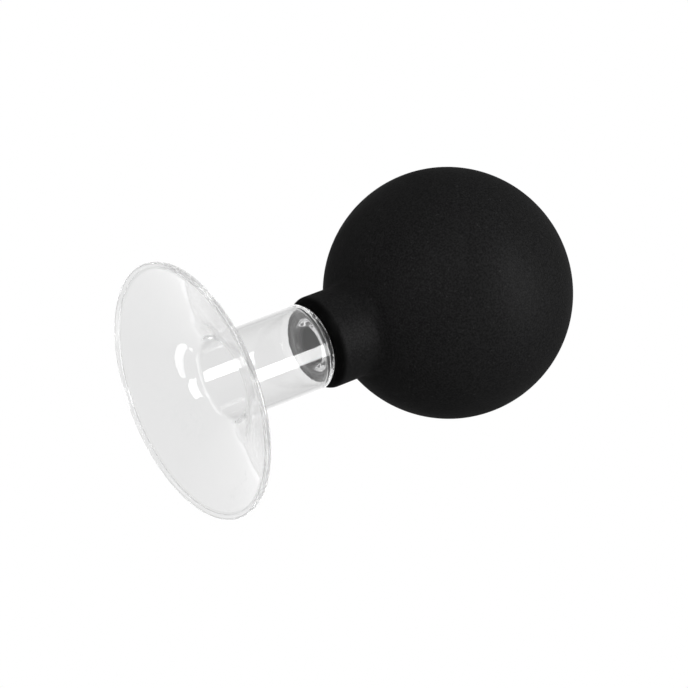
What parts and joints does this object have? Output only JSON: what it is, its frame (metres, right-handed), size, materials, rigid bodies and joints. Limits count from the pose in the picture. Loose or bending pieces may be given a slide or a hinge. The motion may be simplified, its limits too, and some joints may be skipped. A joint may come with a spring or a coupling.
{
  "type": "cupping cup with squeeze bulb",
  "caption": "Clear glass cupping cup with a wide shallow flared mouth on a short barrel, and a matte black rubber squeeze bulb whose collar pushes over the glass nozzle.",
  "frame": {"origin": "centre of the mouth's rim plane, where the cup rests on the skin", "axes": "+Z along the axis of revolution, from the mouth to the crown of the bulb; X and Y lie in the rim plane and are interchangeable"},
  "size_m": [0.055, 0.055, 0.0926],
  "materials": {
    "clear_glass": "clear, fire-polished",
    "black_rubber": "matte, finely grained"
  },
  "bodies": {
    "cup": {"glass_cup": "clear_glass"},
    "bulb": {"bulb_collar": "black_rubber", "bulb_wall": "black_rubber"},
    "crown": {"bulb_crown": "black_rubber"}
  },
  "joints": [
    {"name": "bulb_pull_off", "type": "slide", "parent": "cup", "child": "bulb", "axis": [0, 0, 1], "range_m": [0, 0.012]},
    {"name": "bulb_squeeze", "type": "slide", "parent": "bulb", "child": "crown", "axis": [0, 0, -1], "range_m": [0, 0.024], "stiffness_N_per_m": 700, "deforming": ["bulb_wall"]}
  ]
}
